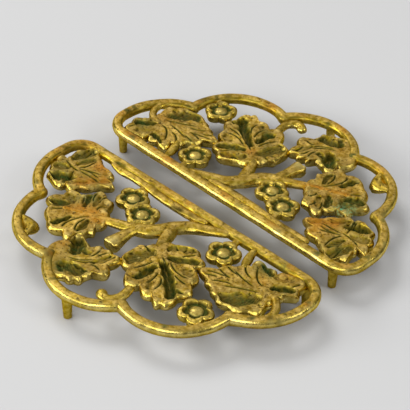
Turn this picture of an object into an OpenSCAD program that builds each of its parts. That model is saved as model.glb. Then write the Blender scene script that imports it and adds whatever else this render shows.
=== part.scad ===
// A two-piece table trivet: two half-round openwork castings that stand side by side and close
// up into one ten-lobed rosette. Each half is a round rail bent into five lobes and closed by a
// straight bar, filled with vine leaves, blossoms and branches, on three tapered pegs.
// The back half is the same casting turned round. Millimetres, +Z up, X along the front bar,
// origin on the table under the middle of the pair.

/* [Rosette] */
// Distance from the rosette's centre to the rail's centre line in the dips between lobes
rosette_r = 91; // [87:0.5:95]
// How far the rosette's centre lies behind the centre line of the bar
rosette_back = 3.2; // [1:0.1:5]
// How far a lobe stands out past the line between its two dips
lobe_depth = 15.3; // [13.5:0.1:17]
// How much the lobe at the narrow end is drawn in
left_trim = 3.2; // [2:0.1:6]
// How much the lobe at the wide end is drawn in
right_trim = 1.8; // [0.2:0.1:3]
// Corner radius between the narrow end and the bar
left_corner_r = 11.5; // [9:0.5:14]
// Corner radius between the wide end and the bar
right_corner_r = 15; // [11:0.5:17]

/* [Rail] */
// Diameter of the round rail and bar
rail_d = 6.6; // [6:0.1:7.4]
// How deep the rail is flattened on top, where the pot stands
rail_flat = 0.3; // [0.2:0.05:0.6]

/* [Feet] */
// Height from the table to the flat on top of the rail
height = 18; // [15:0.5:24]
// Peg diameter under the rail
foot_top_d = 6; // [5:0.1:6.4]
// Peg diameter at the table
foot_tip_d = 4.6; // [3.5:0.1:5]
// Height of the bevelled edge at the tip of a peg
foot_edge = 0.5; // [0.2:0.1:0.8]
// How far the two pegs by the bar stand in from the rail's centre line
foot_inset = 1.5; // [0:0.1:2]

/* [Leaves] */
// How far the crown of a leaf lies below the rail's flat
leaf_drop = 0.8; // [0.5:0.1:1.4]
// Depth of a leaf's side wall, from its rolled edge to its underside
leaf_wall = 4.2; // [3.4:0.1:4.8]
// How far the rolled edge falls from the crown
leaf_roll = 1.3; // [0.8:0.1:1.6]
// Depth of the spoon-like hollow in a full lobe
leaf_hollow = 1.9; // [0.8:0.1:2.2]
// How far the underside is hollowed out
leaf_under = 1.2; // [0.6:0.1:1.5]

/* [Blossoms] */
// Radius of a blossom, to the tips of its petals
flower_r = 10; // [9.4:0.1:10.6]
// How far the petal rims lie below the rail's flat
flower_drop = 0.8; // [0.4:0.1:1.4]
// Thickness of a blossom at the petal rims
flower_t = 5.6; // [4.8:0.1:6.2]
// Depth of the cup inside a petal
petal_cup = 1.9; // [1:0.1:2.4]
// Radius of the round boss in the middle
boss_r = 2.7; // [2:0.1:3.2]
// How far the boss stands above the floor of the cups
boss_h = 1.8; // [1:0.1:2.4]

/* [Branches] */
// Largest radius of the branch, at its fork
branch_r = 4.6; // [4:0.1:5.2]
// Radius of the twig that lies along the bar
twig_r = 2.7; // [2.3:0.1:3.1]
// Radius of the tendril
tendril_r = 2.1; // [1.8:0.1:2.4]
// Radius of the leaf stem at the wide end
stem_r = 2.1; // [1.8:0.1:2.4]
// Radius of the buds on the rail and on the bar
bud_r = 3.8; // [3.3:0.1:4.2]
// How far the branches lie below the rail's flat
branch_drop = 0.4; // [0.2:0.1:0.8]
// How far the tendril lies below the rail's flat
tendril_drop = 1.6; // [0.6:0.1:2]

/* [Pair] */
// Open gap between the two bars as the pair is set down, half way along
pair_gap = 13.8; // [6:0.2:40]
// How far the back half is set along the bar from square with the front half
pair_shift = -1; // [-8:0.2:8]
// How far the back half is turned from square with the front half
pair_turn = -1.3; // [-4:0.1:4]

/* [Hidden] */
$fn = 40;
brass = [0.66, 0.54, 0.24];
tarnished_brass = [0.52, 0.42, 0.19];
polished_brass = [0.78, 0.66, 0.34];

// The rosette has ten lobes, five on each half
lobe_angle = 36;
rail_r = rail_d / 2;
// The rail's centre line lies this far from its flat
rail_z = rail_flat - rail_r;
// Radius of a lobe's arc, to the rail's centre line
half_chord = rosette_r * sin(lobe_angle / 2);
lobe_r = (pow(half_chord, 2) + pow(lobe_depth, 2)) / (2 * lobe_depth);
// From the rosette's centre to the tip of a lobe, and to the centre of its arc
tip_r = rosette_r * cos(lobe_angle / 2) + lobe_depth;
lobe_out = tip_r - lobe_r;

function polar(r, a) = [r * cos(a), r * sin(a)];
function bearing(p, q) = atan2(q[1] - p[1], q[0] - p[0]);
// Dips 1 to 4 run from the narrow end round to the wide end
function dip(k) = [0, rosette_back] + polar(rosette_r, 180 + k * lobe_angle);
function lobe_centre(k) = [0, rosette_back] + polar(lobe_out, 180 + (k - 0.5) * lobe_angle);
// Where the arc of an end lobe, centred at x, passes through its dip
function end_centre(x, p) = [x, p[1] + sqrt(pow(lobe_r, 2) - pow(x - p[0], 2))];
// A place in the pattern, given as a share of the way to the tips of the lobes, and a chain of
// such places with a radius share each
function place(share) = [share[0] * tip_r, share[1] * tip_r];
function placed(chain_shares) = [for (c = chain_shares) concat(place(c), [c[2]])];

// The end lobes run straight up into the corners
left_centre = end_centre(lobe_centre(1)[0] + left_trim, dip(1));
right_centre = end_centre(lobe_centre(5)[0] - right_trim, dip(4));
left_edge = left_centre[0] - lobe_r;
right_edge = right_centre[0] + lobe_r;
left_corner = [left_edge + left_corner_r, -left_corner_r];
right_corner = [right_edge - right_corner_r, -right_corner_r];

// Section of the rail, with its flat at zero height
module rail_section() {
    intersection() {
        translate([0, rail_z]) circle(r = rail_r);
        translate([-rail_d, -2 * rail_d]) square(2 * rail_d);
    }
}

// A bent stretch of rail about a centre, anticlockwise from one bearing to another
module rail_arc(centre, radius, from, to) {
    translate([centre[0], centre[1], 0])
        rotate([0, 0, from])
            rotate_extrude(angle = (to - from + 360) % 360, $fn = 72)
                translate([radius, 0]) rail_section();
}

// A straight stretch of rail from one point to another
module rail_run(p, q) {
    translate([p[0], p[1], 0])
        rotate([0, 0, bearing(p, q)])
            rotate([90, 0, 90])
                linear_extrude(norm(q - p)) rail_section();
}

// Lobe 1's and lobe 5's arcs are drawn in, the others are evenly spaced
centres = [left_centre, lobe_centre(2), lobe_centre(3), lobe_centre(4), right_centre];

// One side of the mitre that two neighbouring lobes share at dip k, past the rail's section
module mitre_block(k, side) {
    translate([dip(k)[0], dip(k)[1], 0])
        rotate([0, 0, bearing(centres[k - 1], centres[k])])
            translate([side * rail_d, 0, -rail_d])
                cube([2 * rail_d, 2 * rail_d, 3 * rail_d], center = true);
}

// How far a lobe's arc runs on past a dip before it is cut to the mitre, in degrees
mitre_reach = 8;

// The arc of rail round lobe k, cut to the mitres at its dips
module lobe(k) {
    centre = centres[k - 1];
    color(brass)
        difference() {
            rail_arc(centre, lobe_r,
                k == 1 ? 180 : bearing(centre, dip(k - 1)) - mitre_reach,
                k == 5 ? 0 : bearing(centre, dip(k)) + mitre_reach);
            if (k > 1) mitre_block(k - 1, -1);
            if (k < 5) mitre_block(k, 1);
        }
}

// The straight bar with its two corners, down to where the end lobes begin
module bar() {
    color(brass) union() {
        rail_run([left_corner[0], 0], [right_corner[0], 0]);
        rail_arc(left_corner, left_corner_r, 90, 180);
        rail_run([left_edge, left_corner[1]], [left_edge, left_centre[1]]);
        rail_arc(right_corner, right_corner_r, 0, 90);
        rail_run([right_edge, right_corner[1]], [right_edge, right_centre[1]]);
    }
}

// A closed skin over rings of points, each with the same number of points, anticlockwise seen
// from above, from the middle of the top, out over the edge, to the middle of the underside
module ringed_skin(top, rings, bottom) {
    n = len(rings[0]);
    last = 1 + (len(rings) - 1) * n;
    polyhedron(
        points = concat([top], [for (ring = rings) each ring], [bottom]),
        faces = concat(
            [for (i = [0:n - 1]) [0, 1 + (i + 1) % n, 1 + i]],
            [for (k = [0:len(rings) - 2], i = [0:n - 1])
                [1 + k * n + i, 1 + k * n + (i + 1) % n, 1 + (k + 1) * n + i]],
            [for (k = [0:len(rings) - 2], i = [0:n - 1])
                [1 + k * n + (i + 1) % n, 1 + (k + 1) * n + (i + 1) % n, 1 + (k + 1) * n + i]],
            [for (i = [0:n - 1]) [last + i, last + (i + 1) % n, last + n]]));
}

// Points taken between the tip of one lobe of a leaf and the tip of the next
lobe_steps = 4;

// The outline of a leaf, seen from the foot of its veins, as [bearing, reach, hollow] for each
// point. A table row is a lobe: its bearing, its reach as a share of the rosette's tip radius,
// how deep the notch behind it cuts as a share of the reach, and how hollow it is, in shares
// of a full hollow. Lobes are round at the tip, and the notches between them are sharp.
function leaf_outline(lobe_shares) = [
    for (k = [0:len(lobe_shares) - 1], j = [0:lobe_steps - 1])
        let (
            a = lobe_shares[k],
            b = lobe_shares[(k + 1) % len(lobe_shares)],
            turn = k == len(lobe_shares) - 1 ? 360 : 0,
            t = j / lobe_steps,
            eased = (1 - cos(180 * t)) / 2,
            notch = 1 - abs(cos(180 * t)),
            near_share = t < 0.5 ? a[3] : b[3])
        [a[0] + (b[0] + turn - a[0]) * t,
            tip_r * (a[1] + (b[1] - a[1]) * eased) * (1 - a[2] * notch),
            near_share * (1 - notch)]];

// How deep a hollow is at a share of the way out to a leaf's edge
function hollow_share(out_share) = out_share < 0.9 ? sin(180 * out_share / 0.9) : 0;

// Ring of a leaf at a share of its outline and a height
function leaf_ring(outline, out_share, z, deep) = [
    for (p = outline)
        concat(polar(p[1] * out_share, p[0]), [z - deep * p[2] * hollow_share(out_share)])];

// A vine leaf: a domed top with a spoon-like hollow in each lobe, a rolled edge, a side wall
// and a hollowed underside
module leaf(at_share, lobe_shares) {
    outline = leaf_outline(lobe_shares);
    edge = -leaf_drop - leaf_roll;
    under = edge - leaf_wall;
    at = place(at_share);
    color(tarnished_brass)
        translate([at[0], at[1], 0])
            ringed_skin([0, 0, -leaf_drop],
                [leaf_ring(outline, 0.25, -leaf_drop, leaf_hollow),
                    leaf_ring(outline, 0.5, -leaf_drop, leaf_hollow),
                    leaf_ring(outline, 0.74, -leaf_drop - leaf_roll / 4, leaf_hollow),
                    leaf_ring(outline, 0.9, -leaf_drop - leaf_roll / 3, leaf_hollow),
                    leaf_ring(outline, 1, edge, 0),
                    leaf_ring(outline, 0.97, under, 0),
                    leaf_ring(outline, 0.75, under + leaf_under, 0)],
                [0, 0, under + leaf_under]);
}

// The leaf in the narrow end lobe points along the bar
leaf_1_at_share = [-0.801, -0.221];
leaf_1_lobe_shares = [
    [166, 0.101, 0.31, 0.5], [244, 0.107, 0.23, 0.8], [265, 0.151, 0.03, 1.0],
    [303, 0.202, 0.14, 0.9], [320, 0.227, 0.07, 0.3], [349, 0.258, 0.07, 0.3],
    [367, 0.335, 0.20, 0.3], [380, 0.282, 0.13, 0.3], [413, 0.190, 0.06, 0.2],
    [448, 0.217, 0.15, 0.6], [473, 0.151, 0.11, 0.7], [489, 0.078, 0.44, 0.2]];

// The leaf at the end of the branch reaches the first dip
leaf_2_at_share = [-0.338, -0.420];
leaf_2_lobe_shares = [
    [72, 0.064, 0.24, 0.3], [103, 0.145, 0.12, 0.4], [133, 0.215, 0.12, 0.6],
    [158, 0.200, 0.14, 0.9], [171, 0.278, 0.12, 0.8], [196, 0.328, 0.12, 0.8],
    [215, 0.292, 0.04, 0.2], [246, 0.280, 0.16, 0.9], [277, 0.252, 0.11, 0.2],
    [288, 0.189, 0.10, 0.6], [308, 0.151, 0.20, 0.6], [315, 0.098, 0.26, 0.3]];

// The leaf on the second dip
leaf_3_at_share = [-0.205, -0.776];
leaf_3_lobe_shares = [
    [-49, 0.160, 0.05, 1.0], [-34, 0.193, 0.06, 1.0], [-20, 0.212, 0.03, 1.0],
    [-7, 0.200, 0.15, 0.8], [12, 0.273, 0.16, 0.3], [42, 0.298, 0.13, 0.5],
    [53, 0.253, 0.16, 0.2], [66, 0.213, 0.17, 0.4], [74, 0.155, 0.06, 1.2],
    [115, 0.195, 0.24, 1.2], [139, 0.135, 0.50, 0.6]];

// The large leaf in the middle hangs from the arm of the branch
leaf_4_at_share = [0.120, -0.406];
leaf_4_lobe_shares = [
    [172, 0.081, 0.18, 0.3], [201, 0.128, 0.04, 0.9], [243, 0.204, 0.25, 1.0],
    [285, 0.301, 0.15, 1.0], [306, 0.345, 0.09, 0.2], [314, 0.409, 0.03, 0.2],
    [321, 0.415, 0.06, 1.0], [342, 0.371, 0.09, 0.3], [357, 0.301, 0.21, 0.3],
    [386, 0.259, 0.09, 0.5], [406, 0.222, 0.06, 0.5], [444, 0.114, 0.50, 0.8]];

// The leaf in the wide end points back at the large leaf
leaf_5_at_share = [0.717, -0.228];
leaf_5_lobe_shares = [
    [19, 0.106, 0.03, 0.9], [30, 0.178, 0.12, 0.9], [60, 0.231, 0.03, 0.4],
    [96, 0.183, 0.22, 0.5], [113, 0.179, 0.15, 0.2], [140, 0.243, 0.17, 0.6],
    [164, 0.231, 0.09, 0.3], [183, 0.285, 0.12, 0.2], [198, 0.371, 0.04, 0.1],
    [212, 0.307, 0.03, 0.1], [224, 0.275, 0.03, 0.5], [242, 0.256, 0.05, 0.9],
    [271, 0.219, 0.09, 0.9], [301, 0.183, 0.03, 0.9], [325, 0.107, 0.51, 0.3]];

module leaf_1() leaf(leaf_1_at_share, leaf_1_lobe_shares);
module leaf_2() leaf(leaf_2_at_share, leaf_2_lobe_shares);
module leaf_3() leaf(leaf_3_at_share, leaf_3_lobe_shares);
module leaf_4() leaf(leaf_4_at_share, leaf_4_lobe_shares);
module leaf_5() leaf(leaf_5_at_share, leaf_5_lobe_shares);

petals = 5;
petal_steps = 6;
// How far the notches between petals cut in, as a share of the blossom's radius
petal_notch_share = 0.26;

// Ring of a blossom at a share of its radius, round near the boss and petalled outside it
function flower_ring(out_share, z) = [
    for (i = [0:petals * petal_steps - 1])
        let (
            t = i / petal_steps,
            notch = petal_notch_share * (1 - abs(cos(180 * t))),
            petalled = min(1, max(0, (out_share - 0.4) / 0.3)))
        concat(polar(flower_r * out_share * (1 - notch * petalled), 360 * t / petals), [z])];

// A blossom of five cupped petals round a domed boss
module flower(at, turn) {
    rim_z = -flower_drop;
    cup_z = rim_z - petal_cup;
    boss_share = boss_r / flower_r;
    color(polished_brass)
        translate([at[0], at[1], 0])
            rotate([0, 0, turn])
                ringed_skin([0, 0, cup_z + boss_h],
                    [flower_ring(boss_share * 0.6, cup_z + boss_h * 0.85),
                        flower_ring(boss_share, cup_z + boss_h * 0.4),
                        flower_ring(boss_share * 1.15, cup_z),
                        flower_ring(0.62, cup_z + petal_cup * 0.1),
                        flower_ring(0.84, rim_z),
                        flower_ring(0.96, rim_z - petal_cup * 0.25),
                        flower_ring(1, rim_z - flower_t / 2),
                        flower_ring(0.95, rim_z - flower_t)],
                    [0, 0, rim_z - flower_t]);
}

// Where the stalk of each blossom ends, on the rail, the bar, the twig and the branch. The
// stalk ties the blossom to what carries it and starts inside the petals.
flower_stalk_shares = [[0.666, -0.657], [0.340, -0.027], [-0.353, -0.036], [-0.107, -0.313]];
stalk_root_share = 0.65;
// The first stands by the rail, the second by the bar. The fourth stands off from its stalk's
// end, and the third hangs under the twig with its petals in those of the fourth.
flower_1_bearing = 140;
flower_2_bearing = 278;
flower_4_bearing = 133;
flower_1_gap = 1.5;
flower_2_gap = 3;
flower_4_gap = 0.4;
flower_3_lap = 4.3;
flower_3_tuck = 1;
function stand_off(k, gap, from) = place(flower_stalk_shares[k - 1]) + polar(flower_r + gap, from);
flower_4_at = stand_off(4, flower_4_gap, flower_4_bearing);
flower_3_y = flower_3_tuck - rail_r - 2 * twig_r - flower_r;
flower_3_x = flower_4_at[0]
    - sqrt(pow(2 * flower_r - flower_3_lap, 2) - pow(flower_3_y - flower_4_at[1], 2));
flower_places = [stand_off(1, flower_1_gap, flower_1_bearing), stand_off(2, flower_2_gap, flower_2_bearing),
    [flower_3_x, flower_3_y], flower_4_at];
flower_turns = [18, 30, 20, 55];

// A round rod along a chain of points, each [x, y, radius share of full]. Its top
// lies a drop below the rail's flat, and it is a little flatter than it is wide.
rod_sides = 10;
rod_flat_share = 0.8;
function rod_ring(p, direction, r, drop) = [
    for (i = [0:rod_sides - 1])
        let (a = 360 * i / rod_sides, side = r * sin(a))
        [p[0] - side * direction[1], p[1] + side * direction[0],
            -drop - r * rod_flat_share * (1 + cos(a))]];

// A point on a smooth curve through a chain, at a share of the way from one link to the next
function smooth(c, k, t) =
    let (n = len(c) - 1, a = c[max(k - 1, 0)], b = c[k], d = c[min(k + 1, n)], e = c[min(k + 2, n)])
    b + t / 2 * (d - a + t * (2 * a - 5 * b + 4 * d - e + t * (3 * b - a - 3 * d + e)));

function chain_curve(c, steps) = concat(
    [for (k = [0:len(c) - 2], j = [0:steps - 1]) smooth(c, k, j / steps)], [c[len(c) - 1]]);

module rod(chain, full_r, steps, drop = branch_drop) {
    curve = [for (c = chain_curve(chain, steps)) [c[0], c[1], c[2] * full_r]];
    n = len(curve) - 1;
    rings = [for (i = [0:n])
        let (back_step = curve[max(i - 1, 0)], next_step = curve[min(i + 1, n)],
            along = [next_step[0] - back_step[0], next_step[1] - back_step[1]])
        rod_ring(curve[i], along / norm(along), curve[i][2], drop)];
    sides = rod_sides;
    polyhedron(
        points = [for (ring = rings) each ring],
        faces = concat(
            [[for (i = [0:sides - 1]) i]],
            [for (k = [0:n - 1], i = [0:sides - 1])
                [k * sides + i, (k + 1) * sides + i, (k + 1) * sides + (i + 1) % sides]],
            [for (k = [0:n - 1], i = [0:sides - 1])
                [k * sides + i, (k + 1) * sides + (i + 1) % sides, k * sides + (i + 1) % sides]],
            [[for (i = [sides - 1:-1:0]) n * sides + i]]));
}

// The branch leaves the bar, bends down to its fork and ends under the second leaf
branch_chain_shares = [
    [0.259, -0.027, 0.55], [0.165, -0.071, 0.75], [0.076, -0.116, 0.90], [0.018, -0.179, 0.95],
    [-0.018, -0.246, 1.00], [-0.071, -0.308, 0.98], [-0.143, -0.353, 0.82], [-0.232, -0.393, 0.66],
    [-0.322, -0.433, 0.55], [-0.420, -0.469, 0.42], [-0.509, -0.509, 0.25]];
// The arm that carries the large leaf
arm_chain_shares = [
    [0.009, -0.188, 0.70], [0.040, -0.255, 0.72], [0.070, -0.326, 0.62], [0.105, -0.389, 0.50],
    [0.147, -0.438, 0.34]];
// The sawn-off stub
stub_chain_shares = [
    [-0.107, -0.335, 0.62], [-0.118, -0.402, 0.62], [-0.122, -0.465, 0.72], [-0.123, -0.508, 0.80],
    [-0.123, -0.529, 0.66]];

module branch() {
    color(brass) union() {
        rod(placed(branch_chain_shares), branch_r, 2);
        rod(placed(arm_chain_shares), branch_r, 2);
        rod(placed(stub_chain_shares), branch_r, 2);
    }
}

// The twig lies along the inner side of the bar and carries a blossom on a side shoot. Its
// second column is how far it stands off, in shares of the distance at which it just touches.
twig_chain_shares = [
    [0.116, 0.76, 0.62], [0.054, 0.92, 0.95], [-0.071, 0.97, 1.00], [-0.206, 0.93, 1.00],
    [-0.331, 0.78, 0.95], [-0.447, 0.70, 0.90], [-0.545, 0.78, 0.92], [-0.617, 0.70, 0.60]];
function beside_bar(share) = [share[0] * tip_r, -share[1] * (rail_r + twig_r)];
module twig() {
    color(brass) rod([for (c = twig_chain_shares) concat(beside_bar(c), [c[2]])], twig_r, 2);
}

// The tendril curls from the large leaf to the third dip and back
tendril_chain_shares = [
    [0.201, -0.670, 1.00], [0.219, -0.728, 0.95], [0.223, -0.782, 0.95], [0.198, -0.826, 0.95],
    [0.161, -0.835, 0.90], [0.134, -0.824, 0.95], [0.123, -0.800, 1.15]];
module tendril() {
    color(polished_brass) rod(placed(tendril_chain_shares), tendril_r, 2, tendril_drop);
}

// The stem of the fifth leaf bends round to the rail
stem_chain_shares = [
    [0.724, -0.228, 0.90], [0.795, -0.234, 1.00], [0.851, -0.284, 1.00], [0.868, -0.348, 1.00],
    [0.844, -0.411, 1.00], [0.804, -0.447, 0.80]];
module stem() {
    color(brass) rod(placed(stem_chain_shares), stem_r, 2);
}

// The bud on the second lobe, as [bearing round the lobe's centre, stand-off, radius share]. The
// stand-off is in shares of the distance at which it just touches the rail.
function inside_lobe(share) = lobe_centre(2) + polar(lobe_r - share[1] * (rail_r + bud_r), share[0]);
rail_bud_chain_shares = [[221, 0.70, 0.55], [229, 0.95, 0.90], [238, 1.08, 1.15], [246, 0.90, 0.90],
    [254, 0.35, 0.50]];
module rail_bud() {
    color(polished_brass)
        rod([for (c = rail_bud_chain_shares) concat(inside_lobe(c), [c[2]])], bud_r, 2);
}

// The bud between the bar and the fifth leaf
bar_bud_chain_shares = [
    [0.465, -0.027, 0.50], [0.478, -0.076, 0.66], [0.496, -0.121, 0.72], [0.514, -0.161, 0.45]];
module bar_bud() {
    color(polished_brass) rod(placed(bar_bud_chain_shares), bud_r, 2);
}

module blossom(k) {
    at = flower_places[k - 1];
    stalk_end = place(flower_stalk_shares[k - 1]);
    way = (stalk_end - at) / norm(stalk_end - at);
    root = at + way * flower_r * stalk_root_share;
    union() {
        flower(at, flower_turns[k - 1]);
        color(brass)
            rod([concat(root, [0.7]), concat((root + stalk_end) / 2, [0.85]), concat(stalk_end, [0.7])],
                twig_r, 1);
    }
}

// Tapered peg with a flat tip, standing on the table under a point of the rail
module foot(p) {
    color(brass)
        translate([p[0], p[1], -height])
            rotate_extrude()
                polygon([[0, 0], [foot_tip_d / 2 - foot_edge, 0], [foot_tip_d / 2, foot_edge],
                    [foot_top_d / 2, height + rail_z], [0, height + rail_z]]);
}
// Bearings of the pegs round the corners and the middle lobe that carry them
foot_left_bearing = 98;
foot_right_bearing = 78;
foot_lobe_bearing = 275;
module foot_left() foot(left_corner + polar(left_corner_r - foot_inset, foot_left_bearing));
module foot_right() foot(right_corner + polar(right_corner_r - foot_inset, foot_right_bearing));
module foot_lobe() foot(lobe_centre(3) + polar(lobe_r, foot_lobe_bearing));

// The back half in the front half's frame, and the middle of the pair
back_y = rail_d + pair_gap;
function turned(p) = [pair_shift, back_y]
    + [p[0] * cos(180 + pair_turn) - p[1] * sin(180 + pair_turn),
        p[0] * sin(180 + pair_turn) + p[1] * cos(180 + pair_turn)];
// Circles that bound a half, as [centre, radius] to the outside of the rail
bounds = [[left_centre, lobe_r + rail_r], [right_centre, lobe_r + rail_r],
    [left_corner, left_corner_r + rail_r], [right_corner, right_corner_r + rail_r],
    [lobe_centre(3), lobe_r + rail_r]];
low_x = min([for (b = bounds) min(b[0][0], turned(b[0])[0]) - b[1]]);
high_x = max([for (b = bounds) max(b[0][0], turned(b[0])[0]) + b[1]]);
low_y = min([for (b = bounds) b[0][1] - b[1]]);
high_y = max([for (b = bounds) turned(b[0])[1] + b[1]]);
middle = [(low_x + high_x) / 2, (low_y + high_y) / 2];

module front_half() {
    translate([-middle[0], -middle[1], height]) children();
}
module back_half() {
    front_half()
        translate([pair_shift, back_y, 0])
            rotate([0, 0, 180 + pair_turn])
                children();
}

front_half() bar();  // front_bar
front_half() lobe(1);  // front_lobe_1
front_half() lobe(2);  // front_lobe_2
front_half() lobe(3);  // front_lobe_3
front_half() lobe(4);  // front_lobe_4
front_half() lobe(5);  // front_lobe_5
front_half() twig();  // front_twig
front_half() branch();  // front_branch
front_half() tendril();  // front_tendril
front_half() rail_bud();  // front_rail_bud
front_half() bar_bud();  // front_bar_bud
front_half() stem();  // front_stem
front_half() leaf_1();  // front_leaf_1
front_half() leaf_2();  // front_leaf_2
front_half() leaf_3();  // front_leaf_3
front_half() leaf_4();  // front_leaf_4
front_half() leaf_5();  // front_leaf_5
front_half() blossom(1);  // front_flower_1
front_half() blossom(2);  // front_flower_2
front_half() blossom(3);  // front_flower_3
front_half() blossom(4);  // front_flower_4
front_half() foot_left();  // front_foot_left
front_half() foot_right();  // front_foot_right
front_half() foot_lobe();  // front_foot_lobe
back_half() bar();  // back_bar
back_half() lobe(1);  // back_lobe_1
back_half() lobe(2);  // back_lobe_2
back_half() lobe(3);  // back_lobe_3
back_half() lobe(4);  // back_lobe_4
back_half() lobe(5);  // back_lobe_5
back_half() twig();  // back_twig
back_half() branch();  // back_branch
back_half() tendril();  // back_tendril
back_half() rail_bud();  // back_rail_bud
back_half() bar_bud();  // back_bar_bud
back_half() stem();  // back_stem
back_half() leaf_1();  // back_leaf_1
back_half() leaf_2();  // back_leaf_2
back_half() leaf_3();  // back_leaf_3
back_half() leaf_4();  // back_leaf_4
back_half() leaf_5();  // back_leaf_5
back_half() blossom(1);  // back_flower_1
back_half() blossom(2);  // back_flower_2
back_half() blossom(3);  // back_flower_3
back_half() blossom(4);  // back_flower_4
back_half() foot_left();  // back_foot_left
back_half() foot_right();  // back_foot_right
back_half() foot_lobe();  // back_foot_lobe
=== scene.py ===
import math
import bpy
import numpy as np
from mathutils import Matrix, Vector, noise


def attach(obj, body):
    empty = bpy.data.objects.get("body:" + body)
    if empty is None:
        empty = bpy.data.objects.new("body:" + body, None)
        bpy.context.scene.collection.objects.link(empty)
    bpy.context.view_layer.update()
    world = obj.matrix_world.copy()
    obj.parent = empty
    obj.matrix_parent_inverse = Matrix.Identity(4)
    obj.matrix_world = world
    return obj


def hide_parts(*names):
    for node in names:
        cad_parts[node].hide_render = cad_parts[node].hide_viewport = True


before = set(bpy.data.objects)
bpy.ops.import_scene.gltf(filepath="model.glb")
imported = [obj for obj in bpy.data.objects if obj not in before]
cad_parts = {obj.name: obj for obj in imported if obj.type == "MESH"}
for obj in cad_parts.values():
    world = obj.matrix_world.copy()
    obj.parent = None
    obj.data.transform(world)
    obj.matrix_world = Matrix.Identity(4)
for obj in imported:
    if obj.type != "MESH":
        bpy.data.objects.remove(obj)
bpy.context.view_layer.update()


# Rails

# Each half's frame is a round cast brass rail, bent into five lobes and closed by a bar, worn
# flat on top and a little swollen where two lobes run together. The whole half is one casting.
# Sizes are millimetres on the front half, and zero height is the worn top of the rail.
MM = 0.001
ROSETTE_R, LOBE_DEPTH, ROSETTE_BACK = 91.0, 15.3, 3.2
LEFT_TRIM, RIGHT_TRIM = 3.2, 1.8
LOBE_ANGLE = 36
LEFT_CORNER_R, RIGHT_CORNER_R = 11.5, 15.0
RAIL_D, RAIL_FLAT, HEIGHT = 6.6, 0.3, 18.0
PAIR_GAP, PAIR_SHIFT, PAIR_TURN = 13.8, -1.0, -1.3
RAIL_R = RAIL_D / 2
HALF_CHORD = ROSETTE_R * math.sin(math.radians(LOBE_ANGLE / 2))
LOBE_R = (HALF_CHORD ** 2 + LOBE_DEPTH ** 2) / (2 * LOBE_DEPTH)
TIP_R = ROSETTE_R * math.cos(math.radians(LOBE_ANGLE / 2)) + LOBE_DEPTH

# Colours of the brass, dark and light, from bare metal to what lies on it. The brown and soot
# colours also paint shade, and the polished colour also paints highlights
METAL = (0.38, 0.262, 0.011), (0.67, 0.50, 0.080)
OLD = (0.285, 0.168, 0.012), (0.62, 0.412, 0.108)
RUST = (0.33, 0.105, 0.004), (0.47, 0.185, 0.014)
SOOT_AND_SHADE = (0.012, 0.012, 0.0005), (0.048, 0.036, 0.002)
VERDIGRIS = (0.008, 0.026, 0.004), (0.060, 0.115, 0.024)
BROWN_AND_SHADE = (0.060, 0.036, 0.001)
TURQUOISE = (0.10, 0.32, 0.17)
PITS = (0.030, 0.018, 0.002)
POLISH_AND_HIGHLIGHT = (0.85, 0.70, 0.245)
SHEEN = (0.90, 0.68, 0.22, 1)


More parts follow.
